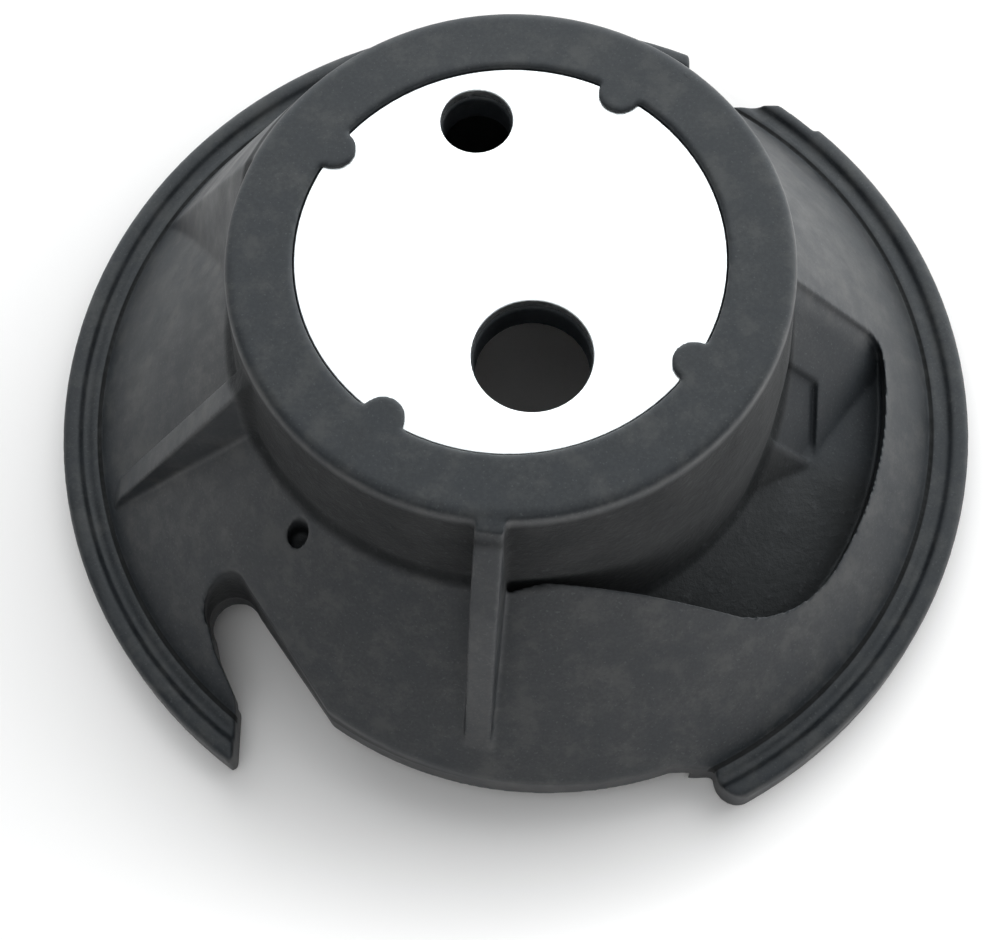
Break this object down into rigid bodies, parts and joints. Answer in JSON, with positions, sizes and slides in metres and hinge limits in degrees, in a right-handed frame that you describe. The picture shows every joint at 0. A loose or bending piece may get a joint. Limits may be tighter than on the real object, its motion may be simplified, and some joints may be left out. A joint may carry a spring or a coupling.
{
  "type": "drop-in bobbin case",
  "caption": "Round drop-in bobbin case: moulded cup with a conical flange and rim, steel base plate, and a thread tension leaf spring with its adjusting screw.",
  "frame": {"origin": "on the axis of the bobbin well, in the plane of the well's mouth, which is also the plane of the rim's foot ring that the case lies on", "axes": "+Z along the well's axis, from the open mouth to the steel base plate; +X and +Y lie in the rim's plane, the needle slot is at -X -Y and the tension spring at +Y. In the machine the case is turned over, so that -Z points up."},
  "size_m": [0.044, 0.0413, 0.0175],
  "materials": {
    "black_plastic": "satin moulded, blue-black, spark-eroded texture in the pocket",
    "satin_steel": "fine satin, stamped edge",
    "spring_steel": "rolled strip, lightly brushed lengthwise",
    "nickel_screw": "bright nickel, turned head",
    "brass": "machined"
  },
  "bodies": {
    "case": {"case_body": "black_plastic", "base_plate": "satin_steel", "spring_screw": "nickel_screw", "tension_insert": "brass", "spring_insert": "brass"},
    "tension_spring": {"tension_spring": "spring_steel"},
    "tension_screw": {"tension_screw": "nickel_screw"}
  },
  "joints": [
    {"name": "tension_adjust", "type": "hinge", "parent": "case", "child": "tension_screw", "pos_m": [0.00099, 0.01417, 0.0072], "axis": [0.0698, 0.9976, 0], "range_deg": [-90, 90]},
    {"name": "spring_flex", "type": "hinge", "parent": "case", "child": "tension_spring", "pos_m": [-0.00429, 0.01319, 0.0072], "axis": [0, 0, 1], "range_deg": [-1.1, 1.1]}
  ],
  "couplings": [
    {"joint": "spring_flex", "follows": "tension_adjust", "ratio": 0.012}
  ]
}
